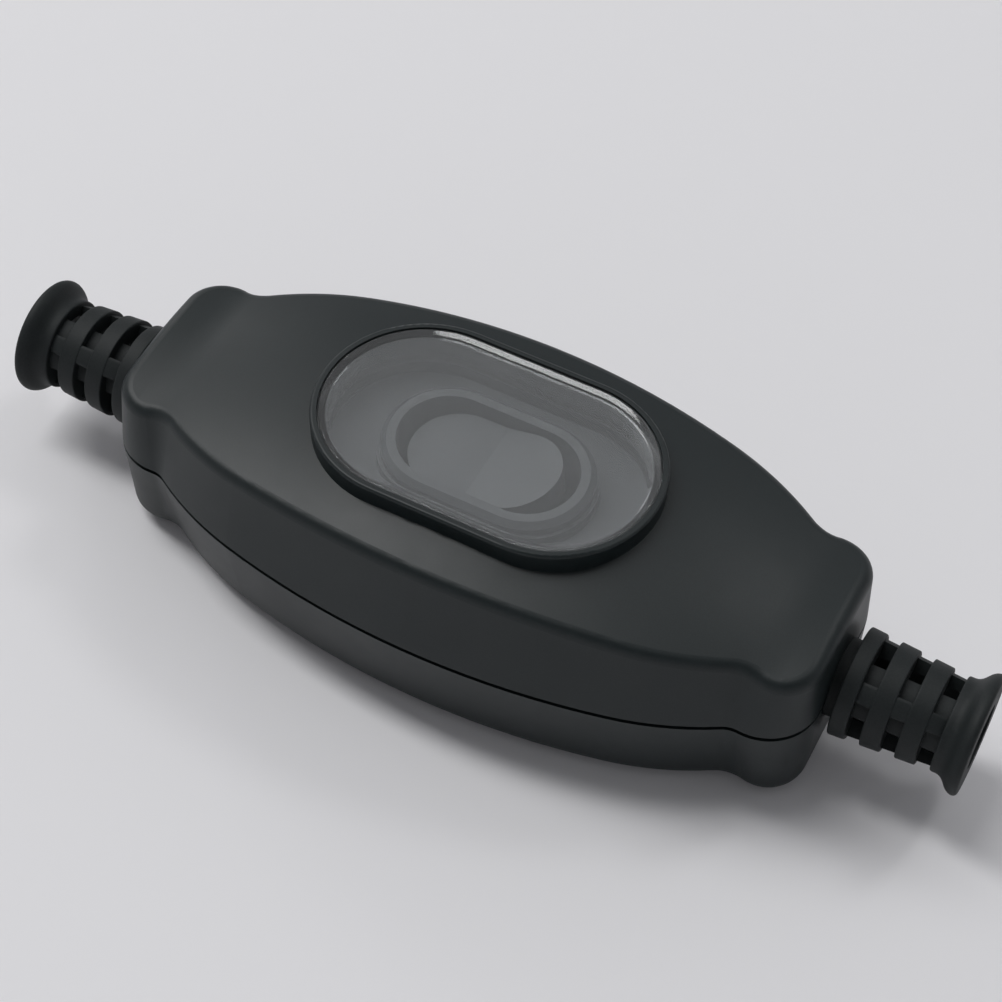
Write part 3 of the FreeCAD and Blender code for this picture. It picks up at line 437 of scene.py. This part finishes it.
def make_sleeve(node, side, turns=180):
    """The grid's angle runs from the front (-Y) upwards. Each cell of a slot is cut down to a
    shoulder next to the web or is open to the bore. A cell's floor is 0 at the outer face, 1 at
    the shoulder and 2 at the bore, and walls join cells with different floors."""
    low, high = (np.array(corner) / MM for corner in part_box(node))
    middle_z = (low[2] + high[2]) / 2
    reach = np.sort(np.abs([low[0], high[0]]))
    face = reach[1] - sleeve_reach
    line = sleeve_profile(reach[0] - face, reach[0] - face + flange_thickness, sleeve_reach)
    distance, outer = line[:, 0], line[:, 1]
    angle = np.radians(np.arange(turns) * 360.0 / turns)
    rows = len(line)
    from_web = np.abs((np.degrees(angle) - web_middle_degrees + 180) % 360 - 180)
    ringed = (distance > first_ring_end) & (distance < slot_ends[-1])
    filled = np.where(ringed, ring_radius(distance) - outer, 0)
    web = np.clip((web_half_degrees + 3 - from_web) / 5, 0, 1)
    outside = outer[:, None] + np.maximum(filled - 0.12, 0)[:, None] * web
    radius = np.stack([outside, np.minimum(outside, shoulder_radius), np.full((rows, turns), sleeve_bore)])
    points = np.stack([np.broadcast_to(side * (face + distance)[None, :, None], (3, rows, turns)),
                       -radius * np.cos(angle), radius * np.sin(angle) + middle_z], axis=-1)

    between = (distance[1:] + distance[:-1])[:, None] / 2
    stretched = np.diff(distance)[:, None] > 1e-6
    in_front_slot = ((between > slot_starts) & (between < slot_ends)).any(axis=1, keepdims=True) & stretched
    in_back_slot = ((between > opposite_starts) & (between < opposite_ends)).any(axis=1, keepdims=True)
    from_web = (np.degrees(angle) + 180.0 / turns - web_middle_degrees) % 360
    from_front = np.minimum(from_web, 360 - from_web)
    floor = np.zeros((rows - 1, turns), dtype=int)
    for in_slot, away in ((in_front_slot, from_front), (in_back_slot, 180 - from_front)):
        floor[in_slot & (away > web_half_degrees)] = 1
        floor[in_slot & (away > web_half_degrees + shoulder_degrees)] = 2
        floor[in_slot & (away > 90 - web_half_degrees)] = 0

    index = np.arange(3 * rows * turns).reshape(3, rows, turns)
    following = np.roll(index, -1, axis=2)
    corners = np.stack([index[:, :-1], following[:, :-1], following[:, 1:], index[:, 1:]], axis=-1)
    opened = floor == 2
    faces = [corners[0][floor == 0], corners[1][floor == 1], corners[2][~opened]]
    for low_floor in (0, 1):
        deep = floor > low_floor
        crossed = np.nonzero(np.diff(deep, axis=0))
        faces.append(np.stack([index[low_floor, 1:-1][crossed], following[low_floor, 1:-1][crossed],
                               following[low_floor + 1, 1:-1][crossed],
                               index[low_floor + 1, 1:-1][crossed]], axis=-1))
        sided = np.nonzero(deep != np.roll(deep, 1, axis=1))
        faces.append(np.stack([index[low_floor, :-1][sided], index[low_floor, 1:][sided],
                               index[low_floor + 1, 1:][sided], index[low_floor + 1, :-1][sided]], axis=-1))
    sleeve = mesh_object("ribbed_" + node, points.reshape(-1, 3), np.concatenate(faces))
    bevel = sleeve.modifiers.new("softer slot edges", "BEVEL")
    bevel.width = 0.15 * MM
    bevel.segments = 2
    bevel.limit_method = "ANGLE"
    bevel.angle_limit = math.radians(50)
    bevel.harden_normals = True
    sleeve.data.materials.append(rubber_finish)
    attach(sleeve, "housing")
    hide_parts(node)


make_sleeve("strain_relief_right", 1)
make_sleeve("strain_relief_left", -1)

# %% [markdown]
# ## The clear membrane
# The window is closed by clear silicone that a thumb pushes onto the rocker. Its middle is
# slightly raised, and its edge turns up to a low lip that carries the bright line. It is a
# profile carried round an oblong, so its thickness and its round edges are in the profile, and
# light bends through it. The underside follows the top, so nothing extra shines from below.
# Rays towards a lamp pass straight through it, or the rocker below would lie in a false shadow.

# %% Finish of the silicone
silicone = moulded_finish("clear_silicone", (0.77, 0.79, 0.80), (0.80, 0.82, 0.83), 0.05, 0.10,
                          60.0, 0.000001, 0.5)
silicone_shader = silicone.node_tree.nodes["Principled BSDF"]
silicone_shader.inputs["Transmission Weight"].default_value = 0.95
silicone.node_tree.links.remove(silicone_shader.inputs["Normal"].links[0])
see_through = silicone.node_tree.nodes.new("ShaderNodeBsdfTransparent")
by_ray = silicone.node_tree.nodes.new("ShaderNodeMixShader")
light_path = silicone.node_tree.nodes.new("ShaderNodeLightPath")
silicone_output = silicone.node_tree.nodes["Material Output"]
silicone.node_tree.links.new(light_path.outputs["Is Shadow Ray"], by_ray.inputs[0])
silicone.node_tree.links.new(silicone_shader.outputs["BSDF"], by_ray.inputs[1])
silicone.node_tree.links.new(see_through.outputs["BSDF"], by_ray.inputs[2])
silicone.node_tree.links.new(by_ray.outputs["Shader"], silicone_output.inputs["Surface"])
silicone_shader.inputs["IOR"].default_value = 1.41

# %% Make the membrane
window_low, window_high = (np.array(corner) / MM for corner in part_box("window_membrane"))
membrane_top = window_high[2]
rim_radius = window_high[1]
half_straight = window_high[0] - rim_radius
flange_low = window_low[2]
wall_radius = rim_radius - 1.6
seat_height = flange_low + 1.2
shelf = membrane_top - 0.2
middle = membrane_top + 0.1
roof = 0.9
section = softened([
    (0, middle, 0), (7.5, middle - 0.1, 3.0), (11.6, shelf, 1.6), (13.5, shelf + 0.08, 0.6),
    (wall_radius - 0.35, membrane_top + 0.28, 0.12), (wall_radius, membrane_top - 0.1, 0.1),
    (wall_radius, membrane_top - 0.6, 0.1),
    (wall_radius, seat_height, 0.2), (rim_radius, seat_height, 0.2), (rim_radius, flange_low, 0.2),
    (wall_radius - 1.0, flange_low, 0.2), (wall_radius - 1.0, shelf + 0.26 - roof, 0.1),
    (13.5, shelf + 0.08 - roof, 0.4), (11.6, shelf - roof, 1.6), (7.5, middle - 0.1 - roof, 3.0),
    (0, middle - roof, 0)], 7)
turn = np.radians(np.concatenate([np.linspace(-90, 90, 72), np.linspace(90, 270, 72)]))
centre = np.repeat([half_straight, -half_straight], 72)
points = np.stack([centre + section[:, :1] * np.cos(turn), section[:, :1] * np.sin(turn),
                   np.repeat(section[:, 1:], turn.size, axis=1)], axis=-1)
membrane = mesh_object("clear_window", points.reshape(-1, 3), grid_faces(*points.shape[:2]))
membrane.data.materials.append(silicone)
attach(membrane, "housing")
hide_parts("window_membrane")

# %% [markdown]
# ## The plunger springs
# Each plunger is pressed onto its contact blade by a small coil spring of round wire. The wire is
# a circle carried along a helix, and the helix rises slowly at both ends, as ground coils do. The
# spring rides with the rocker; the real one shortens towards the end of its bore when the plunger
# slides.

# %% Make the springs, sizes in millimetres
wire_radius = 0.22
wire_sides = 12
wire_stations = 100
spring_turns = 3.5
spring_low, spring_high = -2.33, 0.73
bore_clearance = 0.05
flat_share = 0.8
pivot = np.array([0.0, 0.0, 26.5])
slides = {joint["name"]: joint for joint in frame["record"]["behaviour"]["joints"]}


def make_spring(side):
    """Station s from 0 to 1 has the angle 2 pi n s and the height L (s - k sin(2 pi s) / 2 pi).
    The wire's circle lies in the plane of the helix's radius and the spring's axis, and a circle
    of no size closes each end."""
    joint = slides["plunger_" + side + "_slide"]
    axis = np.array(joint["axis"])
    across = np.array([axis[2], 0.0, -axis[0]])
    low, high = (np.array(corner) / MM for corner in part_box("plunger_" + side))
    coil_radius = (high[1] - low[1]) / 2 - wire_radius - bore_clearance
    length = spring_high - spring_low
    share = np.linspace(0, 1, wire_stations)[:, None]
    angle = 2 * math.pi * spring_turns * share
    height = spring_low + length * (share - flat_share * np.sin(2 * math.pi * share) / (2 * math.pi))
    around = np.radians(np.arange(wire_sides) * 360.0 / wire_sides)
    angle = np.concatenate([angle[:1], angle, angle[-1:]])
    height = np.concatenate([height[:1], height, height[-1:]])
    wire = np.full((len(angle), 1), wire_radius)
    wire[[0, -1]] = 0
    reach = coil_radius + wire * np.cos(around)
    local = np.stack([reach * np.cos(angle), reach * np.sin(angle),
                      height + wire * np.sin(around)], axis=-1)
    middle = pivot + np.array([0.0, (low[1] + high[1]) / 2, 0.0])
    turned = np.array([across, [0.0, 1.0, 0.0], axis])
    points = middle + local @ turned
    spring = mesh_object("coil_spring_" + side, points.reshape(-1, 3), grid_faces(*points.shape[:2]))
    spring.data.materials.append(steel_finish)
    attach(spring, "rocker")
    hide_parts("plunger_spring_" + side)
    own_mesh(spring)


make_spring("front")
make_spring("back")
